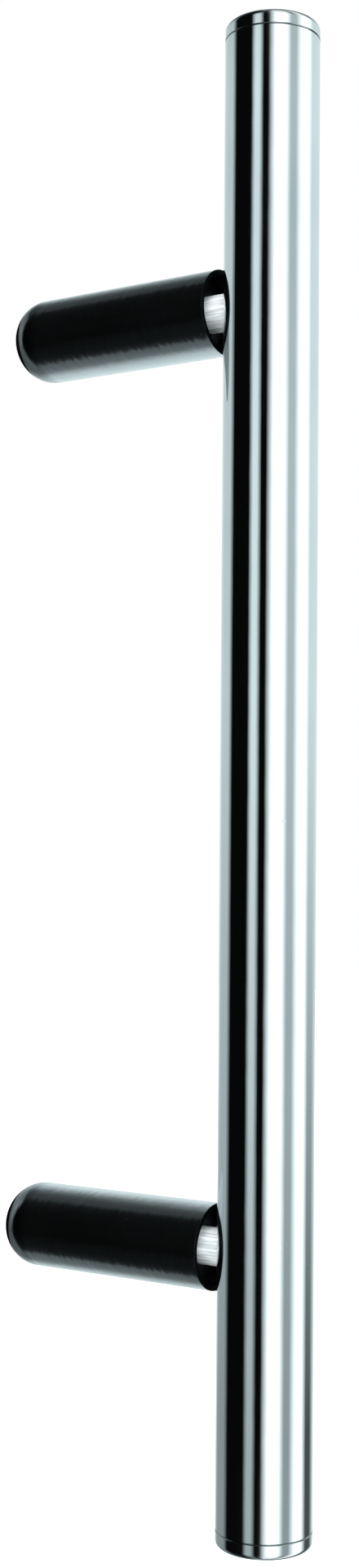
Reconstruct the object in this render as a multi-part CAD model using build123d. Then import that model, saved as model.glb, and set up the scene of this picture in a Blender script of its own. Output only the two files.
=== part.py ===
from build123d import *
import math
import os

# Door pull handle: a straight round grip bar carried on two round posts.
# The door's face is the plane Y = 0, with the door on the +Y side and the hand on the -Y side.
# The origin is midway between the two door fixings, and the bar stands upright along Z.
# All sizes are in millimetres.

# Grip bar
bar_length = 400.0            # overall, end caps included
tube_diameter = 25.4
tube_wall = 1.5
seam_break = 0.25             # edge break on both sides of the seam between tube and cap

# End caps, turned, with a spigot that plugs the tube
cap_rim_length = 4.2          # the part that shows, flush with the tube
cap_edge_break = 1.0          # at the bar's outer ends
spigot_length = 14.0
spigot_lead_in = 0.8
spigot_clearance = 0.05       # radial, spigot in tube

# Posts, turned, each with a slim neck that stands in a relief and whose saddle fits the tube
fixing_centres = 250.0
hand_clearance = 67.0         # door face to the near side of the tube
post_diameter = 23.0
post_end_radius = 10.0        # the large round at the door
post_seat_diameter = 15.0     # the flat that bears on the door
neck_diameter = 10.0
relief_depth = 6.0            # round the neck
lip_gap = 2.0                 # from the relief's lip to the near side of the tube
lip_thickness = 1.3
post_floor = 12.0             # from the screw's seat to the bottom of the saddle

# Tie screws, socket head, that draw the posts against the tube
screw_diameter = 6.0
screw_pitch = 1.0
screw_length = 30.0           # under the head
screw_head_diameter = 10.0
screw_head_height = 6.0
screw_point = 0.6             # chamfer at the tip
socket_across_flats = 5.0
socket_depth = 3.0
screw_clearance = 0.2         # radial, screw in the holes of post and tube
head_clearance = 0.5          # radial, head in the post's bore
thread_clearance = 0.05       # radial, between mating threads drawn plain at their pitch diameter

# Split lock washers under the screw heads
washer_diameter = 9.9
washer_thickness = 1.6
washer_split = 1.2
washer_clearance = 0.05       # radial, washer on screw

# Tube nuts, round slugs inside the tube that take the tie screws
nut_length = 24.0
nut_clearance = 0.1           # radial, nut in tube

# Fixing bushes in the posts' door ends, threaded for the door bolts
bush_diameter = 12.0
bush_length = 18.0
bush_recess = 0.3             # below the post's end face, so that the post itself seats on the door
bush_edge_break = 0.5
bush_clearance = 0.02         # radial, bush in post
fixing_thread = 8.0
fixing_pitch = 1.25
fixing_countersink = 0.9

# Sizes that follow from those above
tube_radius = tube_diameter / 2
tube_bore_radius = tube_radius - tube_wall
tube_length = bar_length - 2 * cap_rim_length
axis_to_door = hand_clearance + tube_radius
post_heights = {"upper": fixing_centres / 2, "lower": -fixing_centres / 2}

screw_radius = screw_diameter / 2
screw_hole_radius = screw_radius + screw_clearance
head_radius = screw_head_diameter / 2
head_bore_radius = head_radius + head_clearance
pitch_diameter_drop = 0.6495  # metric thread: pitch diameter is this many pitches below nominal
thread_radius = (screw_diameter - pitch_diameter_drop * screw_pitch) / 2

# Depths into a post, from the door face towards the bar
bush_end_depth = bush_recess + bush_length
lip_end_depth = hand_clearance - lip_gap
relief_floor_depth = lip_end_depth - relief_depth
screw_seat_depth = hand_clearance - post_floor
head_seat_depth = screw_seat_depth - washer_thickness
screw_tip_depth = head_seat_depth + screw_length


def turned(*outline):
    # A round piece about Z, from its half section as (radius, Z) points.
    section = make_face(Polyline(*[(radius, 0, z) for radius, z in outline], close=True))
    return revolve(section, Axis.Z)


def make_grip_tube():
    # A straight tube about Z, with one screw hole through its door side for each post.
    tube = turned(
        (tube_bore_radius, -tube_length / 2),
        (tube_radius - seam_break, -tube_length / 2),
        (tube_radius, -tube_length / 2 + seam_break),
        (tube_radius, tube_length / 2 - seam_break),
        (tube_radius - seam_break, tube_length / 2),
        (tube_bore_radius, tube_length / 2),
    )
    door_side = (Align.CENTER, Align.CENTER, Align.MIN)
    drill = Rot(X=-90) * Cylinder(screw_hole_radius, tube_diameter, align=door_side)
    for height in post_heights.values():
        tube -= Pos(Z=height) * drill
    return tube


def make_end_cap():
    # Z points out of the tube, and Z = 0 is the tube's end.
    spigot_radius = tube_bore_radius - spigot_clearance
    return turned(
        (0, -spigot_length),
        (spigot_radius - spigot_lead_in, -spigot_length),
        (spigot_radius, -spigot_length + spigot_lead_in),
        (spigot_radius, 0),
        (tube_radius - seam_break, 0),
        (tube_radius, seam_break),
        (tube_radius, cap_rim_length - cap_edge_break),
        (tube_radius - cap_edge_break, cap_rim_length),
        (0, cap_rim_length),
    )


def foot_round(post_radius, seat_radius):
    # The round at a post's foot as (radius, Z) points, turned as two cones from the seat to the straight side.
    cones = 2
    centre_radius = post_radius - post_end_radius
    seat_angle = math.acos((seat_radius - centre_radius) / post_end_radius)
    centre_depth = post_end_radius * math.sin(seat_angle)
    angles = [seat_angle * (cones - step) / cones for step in range(cones + 1)]
    return [
        (centre_radius + post_end_radius * math.cos(angle), centre_depth - post_end_radius * math.sin(angle))
        for angle in angles
    ]


def make_post():
    # Z is the depth from the door face. The bore steps from the bush's seat to the screw's.
    post_radius = post_diameter / 2
    seat_radius = post_seat_diameter / 2
    neck_radius = neck_diameter / 2
    relief_radius = post_radius - lip_thickness
    bush_bore_radius = bush_diameter / 2 + bush_clearance
    blank = turned(
        (bush_bore_radius, 0),
        *foot_round(post_radius, seat_radius),
        (post_radius, lip_end_depth),
        (relief_radius, lip_end_depth),
        (relief_radius, relief_floor_depth),
        (neck_radius, relief_floor_depth),
        (neck_radius, axis_to_door),
        (screw_hole_radius, axis_to_door),
        (screw_hole_radius, screw_seat_depth),
        (head_bore_radius, screw_seat_depth),
        (head_bore_radius, bush_end_depth),
        (bush_bore_radius, bush_end_depth),
    )
    saddle = Pos(Z=axis_to_door) * Rot(X=90) * Cylinder(tube_radius, 2 * post_diameter)
    return blank - saddle


def make_tube_nut():
    # About Z, as the tube is, with a tapped hole across it.
    nut_radius = tube_bore_radius - nut_clearance
    nut = Cylinder(nut_radius, nut_length)
    tapped_hole = Rot(X=90) * Cylinder(thread_radius + thread_clearance, tube_diameter)
    return nut - tapped_hole


def make_tie_screw():
    # Z is the depth from the door face. The thread begins where the screw leaves the post.
    head_top = head_seat_depth - screw_head_height
    screw = turned(
        (0, head_top),
        (head_radius, head_top),
        (head_radius, head_seat_depth),
        (screw_radius, head_seat_depth),
        (screw_radius, hand_clearance),
        (thread_radius, hand_clearance),
        (thread_radius, screw_tip_depth - screw_point),
        (thread_radius - screw_point, screw_tip_depth),
        (0, screw_tip_depth),
    )
    hexagon = RegularPolygon(socket_across_flats / 2, 6, major_radius=False)
    return screw - Pos(Z=head_top) * extrude(hexagon, socket_depth)


def make_lock_washer():
    # Z is the depth from the door face. The washer lies flat between screw head and post.
    bore_radius = screw_radius + washer_clearance
    ring = turned(
        (bore_radius, head_seat_depth),
        (washer_diameter / 2, head_seat_depth),
        (washer_diameter / 2, screw_seat_depth),
        (bore_radius, screw_seat_depth),
    )
    outwards = (Align.MIN, Align.CENTER, Align.MIN)
    split = Box(washer_diameter, washer_split, washer_thickness, align=outwards)
    return ring - Pos(Z=head_seat_depth) * split


def make_fixing_bush():
    # Z is the depth from the door face. The bore is at the thread's minor diameter.
    bush_radius = bush_diameter / 2
    bore_radius = (fixing_thread - fixing_pitch) / 2
    return turned(
        (bore_radius + fixing_countersink, bush_recess),
        (bush_radius, bush_recess),
        (bush_radius, bush_end_depth - bush_edge_break),
        (bush_radius - bush_edge_break, bush_end_depth),
        (bore_radius, bush_end_depth),
        (bore_radius, bush_recess + fixing_countersink),
    )


on_bar_axis = Pos(Y=-axis_to_door)
end_cap = make_end_cap()
nodes = {
    "grip_tube": on_bar_axis * make_grip_tube(),
    "upper_end_cap": on_bar_axis * Pos(Z=tube_length / 2) * end_cap,
    "lower_end_cap": on_bar_axis * Pos(Z=-tube_length / 2) * Rot(X=180) * end_cap,
}

post = make_post()
tube_nut = make_tube_nut()
fixing_bush = make_fixing_bush()
tie_screw = make_tie_screw()
lock_washer = make_lock_washer()
door_to_bar = Rot(X=90)       # turns depth from the door face into -Y
tie_screws = []
lock_washers = []
for side, height in post_heights.items():
    in_post = Pos(Z=height) * door_to_bar
    nodes[f"{side}_post"] = in_post * post
    nodes[f"{side}_fixing_bush"] = in_post * fixing_bush
    nodes[f"{side}_tube_nut"] = on_bar_axis * Pos(Z=height) * tube_nut
    tie_screws.append(in_post * tie_screw)
    lock_washers.append(in_post * lock_washer)
nodes["tie_screws"] = Compound(children=tie_screws)
nodes["lock_washers"] = Compound(children=lock_washers)

os.makedirs("parts", exist_ok=True)
for name, shape in nodes.items():
    shape.label = name
    export_step(shape, f"parts/{name}.step")
    print(name, round(shape.volume), "mm3")
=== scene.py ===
import bpy
import bmesh
import math
from mathutils import Matrix, Vector


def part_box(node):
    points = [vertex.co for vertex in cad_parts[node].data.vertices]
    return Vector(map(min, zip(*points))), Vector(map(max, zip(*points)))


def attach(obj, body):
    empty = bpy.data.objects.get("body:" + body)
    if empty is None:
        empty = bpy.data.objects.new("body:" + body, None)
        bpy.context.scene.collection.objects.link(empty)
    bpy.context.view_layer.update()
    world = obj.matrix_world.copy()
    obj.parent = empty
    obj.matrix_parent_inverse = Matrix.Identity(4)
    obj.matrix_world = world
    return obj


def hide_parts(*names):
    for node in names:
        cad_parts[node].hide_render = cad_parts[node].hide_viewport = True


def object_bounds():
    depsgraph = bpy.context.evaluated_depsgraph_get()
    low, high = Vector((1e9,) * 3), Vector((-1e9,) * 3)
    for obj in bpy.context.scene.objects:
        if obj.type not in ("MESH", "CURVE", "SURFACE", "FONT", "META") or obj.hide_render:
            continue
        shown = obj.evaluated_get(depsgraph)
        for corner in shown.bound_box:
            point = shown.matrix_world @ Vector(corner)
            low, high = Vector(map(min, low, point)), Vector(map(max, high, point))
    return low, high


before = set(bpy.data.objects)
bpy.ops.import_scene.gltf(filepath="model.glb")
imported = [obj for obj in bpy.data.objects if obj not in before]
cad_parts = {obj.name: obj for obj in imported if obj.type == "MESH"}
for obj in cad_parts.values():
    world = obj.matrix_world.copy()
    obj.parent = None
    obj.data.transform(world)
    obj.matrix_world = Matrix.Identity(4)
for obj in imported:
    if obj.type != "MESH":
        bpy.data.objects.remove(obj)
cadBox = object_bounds()
mm = 0.001
fullTurn = 2 * math.pi
print("frame loaded:", sorted(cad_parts))

# sizes that several pieces share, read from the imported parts
tubeLow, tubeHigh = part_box("grip_tube")
tubeRadius = tubeHigh.x
barAxis = Vector((0, tubeHigh.y - tubeRadius, 0))
upright = Vector((0, 0, 1))
intoDoor = Vector((0, 1, 0))
sides = ("upper", "lower")


def postHeight(side):
    low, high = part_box(side + "_fixing_bush")
    return (low.z + high.z) / 2


# node helpers for the materials


def startMaterial(name):
    material = bpy.data.materials.new(name)
    material.use_nodes = True
    return material, material.node_tree, material.node_tree.nodes["Principled BSDF"]


def addNode(tree, kind, **settings):
    node = tree.nodes.new(kind)
    for key, value in settings.items():
        setattr(node, key, value)
    return node


def feed(tree, socket, value):
    # value is another node's output, or a plain number or colour
    if isinstance(value, bpy.types.NodeSocket):
        tree.links.new(value, socket)
    else:
        socket.default_value = value


def colour(tint, level=1):
    return [level * channel for channel in tint] + [1]


def objectPattern(tree, scale=(1, 1, 1), offset=(0, 0, 0)):
    coordinates = addNode(tree, "ShaderNodeTexCoord")
    mapping = addNode(tree, "ShaderNodeMapping")
    mapping.inputs["Scale"].default_value = scale
    mapping.inputs["Location"].default_value = offset
    tree.links.new(coordinates.outputs["Object"], mapping.inputs["Vector"])
    return mapping.outputs["Vector"]


def noise(tree, vector, scale=1, detail=2):
    texture = addNode(tree, "ShaderNodeTexNoise")
    texture.inputs["Scale"].default_value = scale
    texture.inputs["Detail"].default_value = detail
    tree.links.new(vector, texture.inputs["Vector"])
    return texture.outputs["Fac"]


def remap(tree, value, span, result=(0, 1)):
    node = addNode(tree, "ShaderNodeMapRange")
    for key, limit in zip(("From Min", "From Max", "To Min", "To Max"), (*span, *result)):
        node.inputs[key].default_value = limit
    tree.links.new(value, node.inputs["Value"])
    return node.outputs["Result"]


def combine(tree, operation, first, second=0):
    maths = addNode(tree, "ShaderNodeMath", operation=operation)
    feed(tree, maths.inputs[0], first)
    feed(tree, maths.inputs[1], second)
    return maths.outputs["Value"]


def mixTints(tree, factor, first, second):
    mix = addNode(tree, "ShaderNodeMix", data_type="RGBA")
    for index, value in ((0, factor), (6, first), (7, second)):     # 6 and 7 are the node's two colours
        feed(tree, mix.inputs[index], colour(value) if isinstance(value, tuple) else value)
    return mix.outputs[2]


def addBump(tree, height, distance, normal=None):
    bump = addNode(tree, "ShaderNodeBump")
    bump.inputs["Strength"].default_value = 1
    bump.inputs["Distance"].default_value = distance
    tree.links.new(height, bump.inputs["Height"])
    if normal:
        tree.links.new(normal, bump.inputs["Normal"])
    return bump.outputs["Normal"]


# mirror polished steel: faint lines along the piece, soft ripple, a few tiny nicks and handling haze.
# The posts are rippled across by their turning, a little duller, and grow dark towards the door with
# painted shade.
# In all finishes tintSpan and sheenSpan are the pattern's values over which tint and roughness change.
polish = {
    "tint": (0.70, 0.75, 0.765),
    "tintDull": (0.64, 0.70, 0.72),
    "tintSpan": (0.45, 0.75),
    "sheenSpan": (0.35, 0.75),
    "hazeScale": 28,
    "lineScale": 1400,        # per metre, across the piece
    "lineStretch": 220,       # how much longer than wide a line is
    "lineHeight": 0.00010 * mm,
    "nickScale": 210,
    "nickSize": 0.050,        # share of a cell
    "nickShare": 0.30,        # share of the cells that have one
    "nickDepth": 0.010 * mm,
    "nickRoughness": 0.15,    # added to the rest
    # along is the piece's own axis, and the waves are per metre across and along it
    "bar": {"along": 2, "roughness": (0.035, 0.085), "waves": (240, 120), "waveHeight": 0.015 * mm},
    "post": {"along": 1, "roughness": (0.09, 0.15), "waves": (260, 520), "waveHeight": 0.07 * mm},
    "tintFootShade": (0.030, 0.033, 0.035),
    "footShadeSpan": (-10.0 * mm, -3.0 * mm),        # along Y, where the posts grow dark with painted shade
}


def nickPattern(tree, vector):
    cells = addNode(tree, "ShaderNodeTexVoronoi", feature="F1")
    cells.inputs["Scale"].default_value = polish["nickScale"]
    tree.links.new(vector, cells.inputs["Vector"])
    draw = addNode(tree, "ShaderNodeSeparateColor")
    tree.links.new(cells.outputs["Color"], draw.inputs["Color"])
    chosen = combine(tree, "LESS_THAN", draw.outputs["Red"], polish["nickShare"])
    pit = remap(tree, cells.outputs["Distance"], (polish["nickSize"], 2 * polish["nickSize"]), (1, 0))
    return combine(tree, "MULTIPLY", pit, chosen)


def makePolishedSteel(name, kind):
    material, tree, shader = startMaterial(name)
    own = polish[kind]
    stretch = [polish["lineScale"]] * 3
    stretch[own["along"]] /= polish["lineStretch"]
    lines = noise(tree, objectPattern(tree, stretch), detail=3)
    waves = [own["waves"][0]] * 3
    waves[own["along"]] = own["waves"][1]
    ripple = noise(tree, objectPattern(tree, waves), detail=1)
    unscaled = objectPattern(tree)
    haze = noise(tree, unscaled, polish["hazeScale"], detail=4)
    nicks = nickPattern(tree, unscaled)
    dull = combine(tree, "MAXIMUM", remap(tree, haze, polish["tintSpan"]), nicks)
    tint = mixTints(tree, dull, polish["tint"], polish["tintDull"])
    # painted shade: the posts darken towards the door
    if kind == "post":
        place = addNode(tree, "ShaderNodeSeparateXYZ")
        tree.links.new(unscaled, place.inputs["Vector"])
        foot = remap(tree, place.outputs["Y"], polish["footShadeSpan"])
        tint = mixTints(tree, foot, tint, polish["tintFootShade"])
    tree.links.new(tint, shader.inputs["Base Color"])
    sheen = remap(tree, haze, polish["sheenSpan"], own["roughness"])
    sheen = combine(tree, "ADD", sheen, combine(tree, "MULTIPLY", nicks, polish["nickRoughness"]))
    tree.links.new(sheen, shader.inputs["Roughness"])
    normal = addBump(tree, ripple, own["waveHeight"])
    normal = addBump(tree, lines, polish["lineHeight"], normal)
    normal = addBump(tree, combine(tree, "SUBTRACT", 1, nicks), polish["nickDepth"], normal)
    tree.links.new(normal, shader.inputs["Normal"])
    shader.inputs["Metallic"].default_value = 1
    return material


# turned steel: tool rings about the piece's own axis
turning = {
    "tint": (0.50, 0.51, 0.52),
    "tintGroove": (0.40, 0.41, 0.42),
    "ringScale": 900,
    "ringWobble": 1.5,
    "ringDetail": 2,
    "ringHeight": 0.006 * mm,
    "roughness": (0.24, 0.38),
    "sheenSpan": (0.3, 0.7),
    "grainScale": 1800,
}


def makeTurnedSteel(name, centre, ringAxis):
    material, tree, shader = startMaterial(name)
    centred = objectPattern(tree, offset=-centre)
    rings = addNode(tree, "ShaderNodeTexWave", wave_type="RINGS", wave_profile="SIN",
                    rings_direction=ringAxis)
    rings.inputs["Scale"].default_value = turning["ringScale"]
    rings.inputs["Distortion"].default_value = turning["ringWobble"]
    rings.inputs["Detail"].default_value = turning["ringDetail"]
    tree.links.new(centred, rings.inputs["Vector"])
    grain = noise(tree, centred, turning["grainScale"], detail=3)
    tint = mixTints(tree, grain, turning["tint"], turning["tintGroove"])
    tree.links.new(tint, shader.inputs["Base Color"])
    sheen = remap(tree, grain, turning["sheenSpan"], turning["roughness"])
    tree.links.new(sheen, shader.inputs["Roughness"])
    normal = addBump(tree, rings.outputs["Fac"], turning["ringHeight"])
    tree.links.new(normal, shader.inputs["Normal"])
    shader.inputs["Metallic"].default_value = 1
    return material


# zinc plating: cool, slightly cloudy
plating = {
    "tint": (0.60, 0.63, 0.66),
    "tintCloud": (0.66, 0.64, 0.56),
    "tintSpan": (0.4, 0.7),
    "cloudScale": 160,
    "roughness": (0.26, 0.42),
    "sheenSpan": (0.3, 0.7),
    "grainScale": 2600,
    "grainHeight": 0.004 * mm,
}


def makePlatedSteel(name):
    material, tree, shader = startMaterial(name)
    unscaled = objectPattern(tree)
    clouds = noise(tree, unscaled, plating["cloudScale"], detail=4)
    grain = noise(tree, unscaled, plating["grainScale"], detail=2)
    cloudy = remap(tree, clouds, plating["tintSpan"])
    tint = mixTints(tree, cloudy, plating["tint"], plating["tintCloud"])
    tree.links.new(tint, shader.inputs["Base Color"])
    sheen = remap(tree, clouds, plating["sheenSpan"], plating["roughness"])
    tree.links.new(sheen, shader.inputs["Roughness"])
    tree.links.new(addBump(tree, grain, plating["grainHeight"]), shader.inputs["Normal"])
    shader.inputs["Metallic"].default_value = 1
    return material


# plain finishes that paint light: painted shade in the posts' reliefs and on their feet, a painted
# reflection on the necks, painted shade on the bar's seams. edge is the tint at grazing angles.
plain = {
    # painted shade: near-black steel, dark at grazing angles too, for the reliefs, the lips' edges and the
    # feet
    "dark": {
        "tint": (0.020, 0.022, 0.024), "patch": (0.045, 0.046, 0.048), "edge": (0.10, 0.10, 0.10),
        "metal": 1, "roughness": (0.45, 0.60),
    },
    # painted reflection: a white non-metal tint stands in for the steel neck's bright reflections
    "neck": {
        "tint": (0.92, 0.98, 0.99), "patch": (0.50, 0.55, 0.57), "edge": (1, 1, 1),
        "metal": 0, "roughness": (0.45, 0.60),
    },
    # painted shade: a darker steel on the seams' edge breaks stands in for the gap's shade
    "seam": {
        "tint": (0.33, 0.36, 0.37), "patch": (0.40, 0.44, 0.45), "edge": (0.45, 0.45, 0.45),
        "metal": 1, "roughness": (0.12, 0.20),
    },
    "tintSpan": (0.40, 0.65),
    "sheenSpan": (0.3, 0.7),
    "grainScale": 1500,
    "grainStretch": (1, 0.06, 1),       # drawn out along the posts
    "grainHeight": 0.003 * mm,
}


def makePlainSteel(name, kind):
    finish = plain[kind]
    material, tree, shader = startMaterial(name)
    grain = noise(tree, objectPattern(tree, plain["grainStretch"]), plain["grainScale"], detail=3)
    patches = remap(tree, grain, plain["tintSpan"])
    tree.links.new(mixTints(tree, patches, finish["tint"], finish["patch"]), shader.inputs["Base Color"])
    sheen = remap(tree, grain, plain["sheenSpan"], finish["roughness"])
    tree.links.new(sheen, shader.inputs["Roughness"])
    tree.links.new(addBump(tree, grain, plain["grainHeight"]), shader.inputs["Normal"])
    shader.inputs["Specular Tint"].default_value = colour(finish["edge"])
    shader.inputs["Metallic"].default_value = finish["metal"]
    return material


# painted shade in the reliefs, on the lips' edges and on the feet
shadePaintedSteel = makePlainSteel("paintedShadeFinish", "dark")
# painted reflection on the necks
neckReflectionSteel = makePlainSteel("paintedNeckReflection", "neck")
# painted shade on the seams
seamShadeSteel = makePlainSteel("paintedSeamShade", "seam")
barSteel = makePolishedSteel("polishedBar", "bar")
postSteel = makePolishedSteel("polishedPost", "post")
platedSteel = makePlatedSteel("zincPlate")
print("materials ready")


# mesh helpers
sharpFrom = math.radians(32)
mergeWithin = 0.001 * mm
near = 0.01 * mm                        # two places this close count as one


def lathe(outline, centre, axis, segments, closed):
    bm = bmesh.new()
    points = [bm.verts.new(point) for point in outline]
    for first, second in zip(points, points[1:]):
        bm.edges.new((first, second))
    if closed:
        bm.edges.new((points[-1], points[0]))
    bmesh.ops.spin(bm, geom=bm.verts[:] + bm.edges[:], cent=centre, axis=axis, angle=fullTurn,
                   steps=segments, use_merge=True)
    bmesh.ops.remove_doubles(bm, verts=bm.verts[:], dist=mergeWithin)
    bmesh.ops.recalc_face_normals(bm, faces=bm.faces[:])
    return bm


def roundCircle(bm, centre, axis, radius, along, roundRadius, segments):
    # the circle lies about axis, at the distance along from centre
    def onCircle(vert):
        offset = vert.co - centre
        distance = offset.dot(axis)
        across = (offset - distance * axis).length
        return abs(across - radius) < near and abs(distance - along) < near

    circle = [edge for edge in bm.edges if all(onCircle(vert) for vert in edge.verts)]
    bmesh.ops.bevel(bm, geom=circle, offset=roundRadius, offset_type="OFFSET", segments=segments,
                    profile=0.5, affect="EDGES", material=-1)


def placePiece(bm, name, materials, node):
    for face in bm.faces:
        face.smooth = True
    for edge in bm.edges:
        edge.smooth = edge.calc_face_angle(0) < sharpFrom
    mesh = bpy.data.meshes.new(name)
    bm.to_mesh(mesh)
    bm.free()
    for material in materials:
        mesh.materials.append(material)
    piece = bpy.data.objects.new(name, mesh)
    bpy.context.scene.collection.objects.link(piece)
    weights = piece.modifiers.new("faceWeights", "WEIGHTED_NORMAL")
    weights.weight = 100                # large faces lead
    weights.keep_sharp = True
    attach(piece, "root")
    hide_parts(node)
    return piece


def steps(start, end, count):
    return [start + (end - start) * index / count for index in range(count + 1)]


# grip tube: one long wall with an edge break at each seam, and a screw hole behind each post
tube = {
    "wall": 1.5 * mm,
    "seamBreak": 0.25 * mm,
    "segments": 256,
    "rings": 56,
    "holeRadius": 3.2 * mm,
    "holeMargin": 5 * mm,               # rings this far above and below a hole keep the cut local
    "holeSegments": 48,
}
tubeBore = tubeRadius - tube["wall"]


def tubePoint(radius, height):
    return barAxis + Vector((radius, 0, height))


def markSeam(bm, seamHeight):
    # the edge breaks on both sides of a seam get the second material, whose darker tint paints the gap's
    # shade
    for face in bm.faces:
        middle = face.calc_center_median() - barAxis
        besideSeam = abs(middle.z - seamHeight) < tube["seamBreak"]
        if besideSeam and middle.to_2d().length > tubeBore:
            face.material_index = 1


def drillScrewHoles(piece):
    drills = bmesh.new()
    for side in sides:
        place = Matrix.Translation(barAxis + Vector((0, tubeRadius, postHeight(side))))
        bmesh.ops.create_cone(drills, cap_ends=True, segments=tube["holeSegments"],
                              radius1=tube["holeRadius"], radius2=tube["holeRadius"], depth=2 * tubeBore,
                              matrix=place @ Matrix.Rotation(math.pi / 2, 4, "X"))
    drillMesh = bpy.data.meshes.new("tubeDrills")
    drills.to_mesh(drillMesh)
    drills.free()
    drill = bpy.data.objects.new("tubeDrills", drillMesh)
    bpy.context.scene.collection.objects.link(drill)
    cut = piece.modifiers.new("screwHoles", "BOOLEAN")
    cut.object = drill
    weights = piece.modifiers["faceWeights"]
    weights.show_viewport = False       # only the holes are applied
    bpy.context.view_layer.update()
    drilled = bpy.data.meshes.new_from_object(piece.evaluated_get(bpy.context.evaluated_depsgraph_get()))
    weights.show_viewport = True
    piece.modifiers.remove(cut)
    piece.data = drilled
    drilled.name = piece.name
    bpy.data.objects.remove(drill)


def makeGripTube():
    seam = tube["seamBreak"]
    low, high = tubeLow.z, tubeHigh.z
    heights = steps(low + seam, high - seam, tube["rings"])
    for side in sides:
        for margin in (-tube["holeMargin"], tube["holeMargin"]):
            heights.append(postHeight(side) + margin)
    outline = [tubePoint(tubeBore, low), tubePoint(tubeRadius - seam, low)]
    outline += [tubePoint(tubeRadius, height) for height in sorted(heights)]
    outline += [tubePoint(tubeRadius - seam, high), tubePoint(tubeBore, high)]
    bm = lathe(outline, barAxis, upright, tube["segments"], True)
    markSeam(bm, low)
    markSeam(bm, high)
    piece = placePiece(bm, "gripTube", [barSteel, seamShadeSteel], "grip_tube")
    drillScrewHoles(piece)


makeGripTube()
print("grip tube done")

# end caps: a flush rim with a rounded outer edge, and a spigot inside the tube
cap = {
    "spigotClearance": 0.05 * mm,
    "spigotLeadIn": 0.8 * mm,
    "edgeRound": 1.6 * mm,
    "roundSegments": 10,
    "faceRings": 5,
    "segments": 256,
}


def makeEndCap(side, outwards):
    node = side + "_end_cap"
    low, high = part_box(node)
    inner, outer = (low.z, high.z) if outwards > 0 else (high.z, low.z)
    seamHeight = tubeHigh.z if outwards > 0 else tubeLow.z
    spigotRadius = tubeBore - cap["spigotClearance"]
    seam = tube["seamBreak"]
    outline = [
        tubePoint(0, inner),
        tubePoint(spigotRadius - cap["spigotLeadIn"], inner),
        tubePoint(spigotRadius, inner + outwards * cap["spigotLeadIn"]),
        tubePoint(spigotRadius, seamHeight),
        tubePoint(tubeRadius - seam, seamHeight),
        tubePoint(tubeRadius, seamHeight + outwards * seam),
    ]
    outline += [tubePoint(radius, outer) for radius in steps(tubeRadius, 0, cap["faceRings"])]
    bm = lathe(outline, barAxis, upright, cap["segments"], False)
    roundCircle(bm, barAxis, upright, tubeRadius, outer, cap["edgeRound"], cap["roundSegments"])
    markSeam(bm, seamHeight)
    placePiece(bm, side + "EndCap", [barSteel, seamShadeSteel], node)


for side, outwards in zip(sides, (1, -1)):
    makeEndCap(side, outwards)
print("end caps done")

# posts: round, with a large round at the door. A slim neck stands in a deep relief and is saddled to
# the tube. Depths are from the door.
post = {
    "endRadius": 10 * mm,
    "seatRadius": 7.5 * mm,
    "endRings": 18,
    "footDark": 3.0 * mm,               # painted shade covers the foot's edge up to here
    "lipEnd": 65 * mm,
    "lipRound": 0.1 * mm,
    "lipSegments": 3,
    "reliefRadius": 10.2 * mm,
    "reliefFloor": 59 * mm,
    "neckRadius": 5 * mm,
    "neckRings": 4,
    "boreRadius": 6.02 * mm,
    "boreDepth": 18.3 * mm,
    "headBoreRadius": 5.5 * mm,
    "headBoreDepth": 55 * mm,
    "screwRadius": 3.2 * mm,
    "rings": 24,
    "segments": 224,
}


def saddle(x):
    return barAxis.y + math.sqrt(tubeRadius ** 2 - min(x * x, tubeRadius ** 2))


def makePost(side):
    node = side + "_post"
    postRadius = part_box(node)[1].x
    centre = Vector((0, 0, postHeight(side)))
    lip, floorDepth = post["lipEnd"], post["reliefFloor"]
    neckEnd = -barAxis.y                # drawn past the tube's wall, then laid on the saddle line

    def point(radius, depth):
        return centre + Vector((radius, -depth, 0))

    def wall(radius, start, end, rings):
        return [point(radius, depth) for depth in steps(start, end, rings)]

    outline = [
        point(post["screwRadius"], neckEnd),
        point(post["screwRadius"], post["headBoreDepth"]),
        point(post["headBoreRadius"], post["headBoreDepth"]),
        point(post["headBoreRadius"], post["boreDepth"]),
        point(post["boreRadius"], post["boreDepth"]),
        point(post["boreRadius"], 0),
    ]
    roundCentre = postRadius - post["endRadius"]
    seatAngle = math.acos((post["seatRadius"] - roundCentre) / post["endRadius"])
    roundLength = post["endRadius"] * math.sin(seatAngle)
    for angle in steps(seatAngle, 0, post["endRings"]):
        outline.append(point(roundCentre + post["endRadius"] * math.cos(angle),
                             roundLength - post["endRadius"] * math.sin(angle)))
    outline += wall(postRadius, roundLength, lip, post["rings"])[1:]
    outline += wall(post["reliefRadius"], lip, floorDepth, post["neckRings"])
    outline += wall(post["neckRadius"], floorDepth, lip, post["neckRings"])
    outline += wall(post["neckRadius"], lip, neckEnd, post["neckRings"])[1:]
    bm = lathe(outline, centre, intoDoor, post["segments"], True)
    for vert in bm.verts:
        share = (-vert.co.y - lip) / (neckEnd - lip)
        if share > 0:
            vert.co.y = -lip + share * (saddle(vert.co.x) + lip)
    roundCircle(bm, centre, intoDoor, postRadius, -lip, post["lipRound"], post["lipSegments"])
    lipEdge = 2 * post["lipRound"]
    # painted shade (index 1) in the relief, on the lip's edge and at the foot; a painted reflection (index
    # 2) on the neck
    for face in bm.faces:
        middle = face.calc_center_median() - centre
        radius, depth = math.hypot(middle.x, middle.z), -middle.y
        inRelief = depth > floorDepth - near and radius < postRadius - lipEdge
        if inRelief and radius < post["neckRadius"] + near:
            face.material_index = 2
        elif inRelief or depth > lip - lipEdge or depth < post["footDark"]:
            face.material_index = 1
    placePiece(bm, side + "Post", [postSteel, shadePaintedSteel, neckReflectionSteel], node)


for side in sides:
    makePost(side)
print("posts done")

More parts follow.
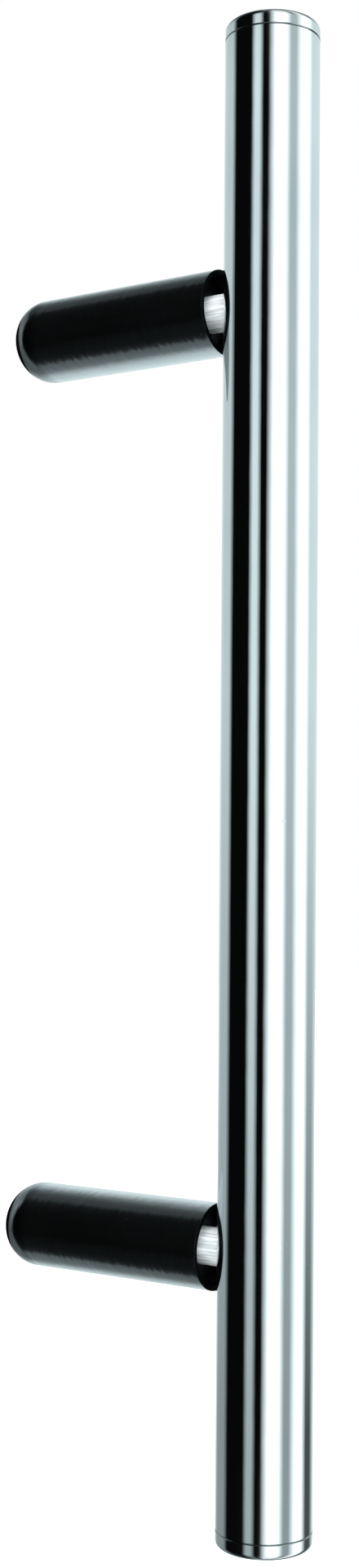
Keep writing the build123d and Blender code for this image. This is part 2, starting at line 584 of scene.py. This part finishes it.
# fixing bushes: countersunk, with a real internal thread
bush = {
    "boreRadius": 3.375 * mm,
    "threadDepth": 0.60 * mm,
    "pitch": 1.25 * mm,
    "crestFlat": 0.25,                  # share of a pitch
    "flankSlope": 2.6,                  # thread depths for each half pitch
    "runOut": 0.5,                      # pitches over which the thread fades in at both ends
    "pointsPerPitch": 12,
    "countersink": 0.9 * mm,
    "edgeBreak": 0.5 * mm,
    "segments": 96,
}


def clamp(value):
    return min(1.0, max(0.0, value))


def makeFixingBush(side):
    node = side + "_fixing_bush"
    low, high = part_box(node)
    outerRadius = high.x
    centre = Vector((0, 0, postHeight(side)))
    mouth, far = high.y, low.y

    def point(radius, y):
        return centre + Vector((radius, y, 0))

    threadStart = mouth - bush["countersink"]
    count = round((threadStart - far) / bush["pitch"] * bush["pointsPerPitch"])
    outline = [
        point(bush["boreRadius"] + bush["countersink"], mouth),
        point(outerRadius, mouth),
        point(outerRadius, far + bush["edgeBreak"]),
        point(outerRadius - bush["edgeBreak"], far),
    ]
    outline += [point(bush["boreRadius"], y) for y in steps(far, threadStart, count)]
    bm = lathe(outline, centre, intoDoor, bush["segments"], True)
    # each point of the bore moves out by the thread's own form
    for vert in bm.verts:
        across = Vector((vert.co.x, 0, vert.co.z - centre.z))
        if abs(across.length - bush["boreRadius"]) > near:
            continue
        turn = math.atan2(across.z, across.x) / fullTurn
        phase = ((vert.co.y - far) / bush["pitch"] + turn) % 1.0
        fromCrest = 1 - abs(2 * phase - 1)
        groove = clamp(bush["flankSlope"] * (fromCrest - bush["crestFlat"]))
        fromEnd = min(vert.co.y - far, threadStart - vert.co.y) / bush["pitch"]
        depth = bush["threadDepth"] * groove * clamp(fromEnd / bush["runOut"])
        vert.co += across.normalized() * depth
    material = makeTurnedSteel(side + "BushTurned", centre, "Y")
    placePiece(bm, side + "FixingBush", [material], node)


for side in sides:
    makeFixingBush(side)
print("fixing bushes done")

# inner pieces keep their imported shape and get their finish
for side in sides:
    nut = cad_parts[side + "_tube_nut"]
    nut.material_slots[0].material = makeTurnedSteel(side + "NutTurned", barAxis, "Z")
for name in ("tie_screws", "lock_washers"):
    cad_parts[name].material_slots[0].material = platedSteel
print("inner pieces finished")

# pale floor, well below the handle
floor = {
    "drop": 0.30,
    "size": 12,
    "squares": 4,                       # along each side
    "tint": (0.90, 0.90, 0.89),
    "mottle": (0.87, 0.87, 0.865),
    "mottleScale": 3,
    "roughness": 0.9,
}


def makeFloor():
    bm = bmesh.new()
    squares = floor["squares"]
    bmesh.ops.create_grid(bm, x_segments=squares, y_segments=squares, size=floor["size"] / 2,
                          matrix=Matrix.Translation((0, 0, cadBox[0].z - floor["drop"])))
    mesh = bpy.data.meshes.new("floor")
    bm.to_mesh(mesh)
    bm.free()
    material, tree, shader = startMaterial("paleFloor")
    mottle = noise(tree, objectPattern(tree), floor["mottleScale"], detail=3)
    tree.links.new(mixTints(tree, mottle, floor["tint"], floor["mottle"]), shader.inputs["Base Color"])
    shader.inputs["Roughness"].default_value = floor["roughness"]
    mesh.materials.append(material)
    piece = bpy.data.objects.new("floor", mesh)
    piece.visible_glossy = False        # the polish shows the studio's panels instead
    bpy.context.scene.collection.objects.link(piece)


makeFloor()
print("floor laid")

# camera at the photo's viewing angle, fitted to the outlines of bar and posts
shot = {
    "place": Vector((-0.4435, -0.3376, -0.0232)),
    "yaw": math.radians(57.21),         # from +Y towards +X
    "pitch": math.radians(2.29),
    "roll": math.radians(0.46),
    "lens": 44.72,
    "sensor": 36,                       # along the picture's long side
}


def makeCamera():
    data = bpy.data.cameras.new("photoCamera")
    data.sensor_fit = "AUTO"
    data.sensor_width = shot["sensor"]
    data.lens = shot["lens"]
    camera = bpy.data.objects.new("photoCamera", data)
    turn = Matrix.Rotation(-shot["yaw"], 4, "Z") @ Matrix.Rotation(math.pi / 2 + shot["pitch"], 4, "X")
    camera.matrix_world = Matrix.Translation(shot["place"]) @ turn @ Matrix.Rotation(shot["roll"], 4, "Z")
    bpy.context.scene.collection.objects.link(camera)
    bpy.context.scene.camera = camera


makeCamera()

# studio: a plain ring of soft lights, cards and black flags round the handle, in degrees about its bar.
# 0 is back towards the camera, and minus is on the camera's left. Between two panels the light runs evenly
# from one to the next.
studio = {
    "white": (0.94, 1.0, 1.01),         # softboxes
    "cool": (0.88, 1.0, 1.02),          # everything else
    # a panel's low is the share of its level that is left at the height low
    "panels": {
        "backdropLeft": {"kind": "backdrop", "span": (-180, -166), "level": 0.90, "low": 1.0},
        "leftCard": {"kind": "card", "span": (-146, -114), "level": 0.75, "low": 0.5},
        "wideFlag": {"kind": "flag", "span": (-100, -54), "level": 0.003, "low": 1.0},
        "stripLight": {"kind": "card", "span": (-44, -34), "level": 1.00, "low": 0.55},
        "narrowFlag": {"kind": "flag", "span": (-24, -12), "level": 0.003, "low": 1.0},
        "mainSoftbox": {"kind": "softbox", "span": (8, 27), "level": 1.90, "low": 1.0},
        "greyCard": {"kind": "card", "span": (43, 57), "level": 0.65, "low": 0.65},
        "sideSoftbox": {"kind": "softbox", "span": (78, 90), "level": 1.90, "low": 1.0},
        "rightCard": {"kind": "card", "span": (110, 130), "level": 0.94, "low": 0.10},
        "backdropRight": {"kind": "backdrop", "span": (154, 180), "level": 0.90, "low": 1.0},
    },
    # the share of its light that a panel keeps at its top and at its foot
    "ends": {"backdrop": (0.4, 0.6), "card": (0.08, 0.4), "softbox": (1, 1), "flag": (1, 1)},
    # heights in degrees above the horizon: a panel is even from fullFoot to fullTop
    "top": 46,
    "fullTop": 22,
    "fullFoot": 5,
    "low": -16,
    "foot": -56,
    "coverFrom": 74,                    # dim ceiling and ground
    "coverLevel": 0.3,
    "fade": 6,
    "backdrop": (1, 1, 1),              # what the camera itself sees
}


def panelLevels(panel):
    top, foot = studio["ends"][panel["kind"]]
    low = panel["level"] * panel["low"]
    return {"top": panel["level"] * top, "full": panel["level"], "low": low, "foot": low * foot}


def panelRing(tree, azimuth, height):
    ramp = addNode(tree, "ShaderNodeValToRGB")
    if height in ("top", "foot"):
        ramp.color_ramp.interpolation = "B_SPLINE"          # panels blur into each other at their ends
    stops = ramp.color_ramp.elements
    edges = [(degrees, panel) for panel in studio["panels"].values() for degrees in panel["span"]]
    for index, (degrees, panel) in enumerate(edges):
        place = (degrees + 180) / 360
        stop = stops.new(place) if 0 < index < len(edges) - 1 else stops[0 if index == 0 else -1]
        stop.position = place
        tint = studio["white" if panel["kind"] == "softbox" else "cool"]
        stop.color = colour(tint, panelLevels(panel)[height])
    tree.links.new(azimuth, ramp.inputs["Fac"])
    return ramp.outputs["Color"]


def mixByHeight(tree, elevation, start, end, first, second):
    share = remap(tree, elevation, (math.radians(start), math.radians(end)))
    return mixTints(tree, share, first, second)


def makeStudio():
    world = bpy.data.worlds.new("studio")
    bpy.context.scene.world = world
    world.use_nodes = True
    tree = world.node_tree
    tree.nodes.clear()
    coordinates = addNode(tree, "ShaderNodeTexCoord")
    facing = addNode(tree, "ShaderNodeVectorRotate", rotation_type="Z_AXIS")
    facing.inputs["Angle"].default_value = shot["yaw"]      # the camera's side comes round to -Y
    tree.links.new(coordinates.outputs["Generated"], facing.inputs["Vector"])
    parts = addNode(tree, "ShaderNodeSeparateXYZ")
    tree.links.new(facing.outputs["Vector"], parts.inputs["Vector"])
    back = combine(tree, "MULTIPLY", parts.outputs["Y"], -1)
    azimuth = remap(tree, combine(tree, "ARCTAN2", parts.outputs["X"], back), (-math.pi, math.pi))
    elevation = combine(tree, "ARCSINE", parts.outputs["Z"])
    shade = panelRing(tree, azimuth, "full")
    for start, end in (("fullTop", "top"), ("fullFoot", "low"), ("low", "foot")):
        ring = panelRing(tree, azimuth, end)
        shade = mixByHeight(tree, elevation, studio[start], studio[end], shade, ring)
    coverTint = colour(studio["cool"], studio["coverLevel"])
    for above in (1, -1):
        cover = above * studio["coverFrom"]
        shade = mixByHeight(tree, elevation, cover, cover + above * studio["fade"], shade, coverTint)
    panels = addNode(tree, "ShaderNodeBackground")
    tree.links.new(shade, panels.inputs["Color"])
    backdrop = addNode(tree, "ShaderNodeBackground")
    backdrop.inputs["Color"].default_value = colour(studio["backdrop"])
    rays = addNode(tree, "ShaderNodeLightPath")
    seen = addNode(tree, "ShaderNodeMixShader")
    tree.links.new(rays.outputs["Is Camera Ray"], seen.inputs["Fac"])
    tree.links.new(panels.outputs["Background"], seen.inputs[1])
    tree.links.new(backdrop.outputs["Background"], seen.inputs[2])
    output = addNode(tree, "ShaderNodeOutputWorld")
    tree.links.new(seen.outputs["Shader"], output.inputs["Surface"])


makeStudio()

# two wide soft lights that the polish doesn't show: one from above keeps the floor white, one from the
# front reaches into the reliefs
lamps = {
    "skylight": {"strength": 3.6, "spread": math.radians(70), "turn": (0, 0, 0)},
    "frontLight": {
        "strength": 2.8, "spread": math.radians(40), "turn": (math.radians(60), 0, -shot["yaw"]),
    },
}


def makeLamp(name):
    data = bpy.data.lights.new(name, "SUN")
    data.energy = lamps[name]["strength"]
    data.angle = lamps[name]["spread"]
    lamp = bpy.data.objects.new(name, data)
    lamp.rotation_euler = lamps[name]["turn"]
    lamp.visible_glossy = False
    bpy.context.scene.collection.objects.link(lamp)


for name in lamps:
    makeLamp(name)
bpy.context.scene.view_settings.view_transform = "Standard"
print("studio and camera set")
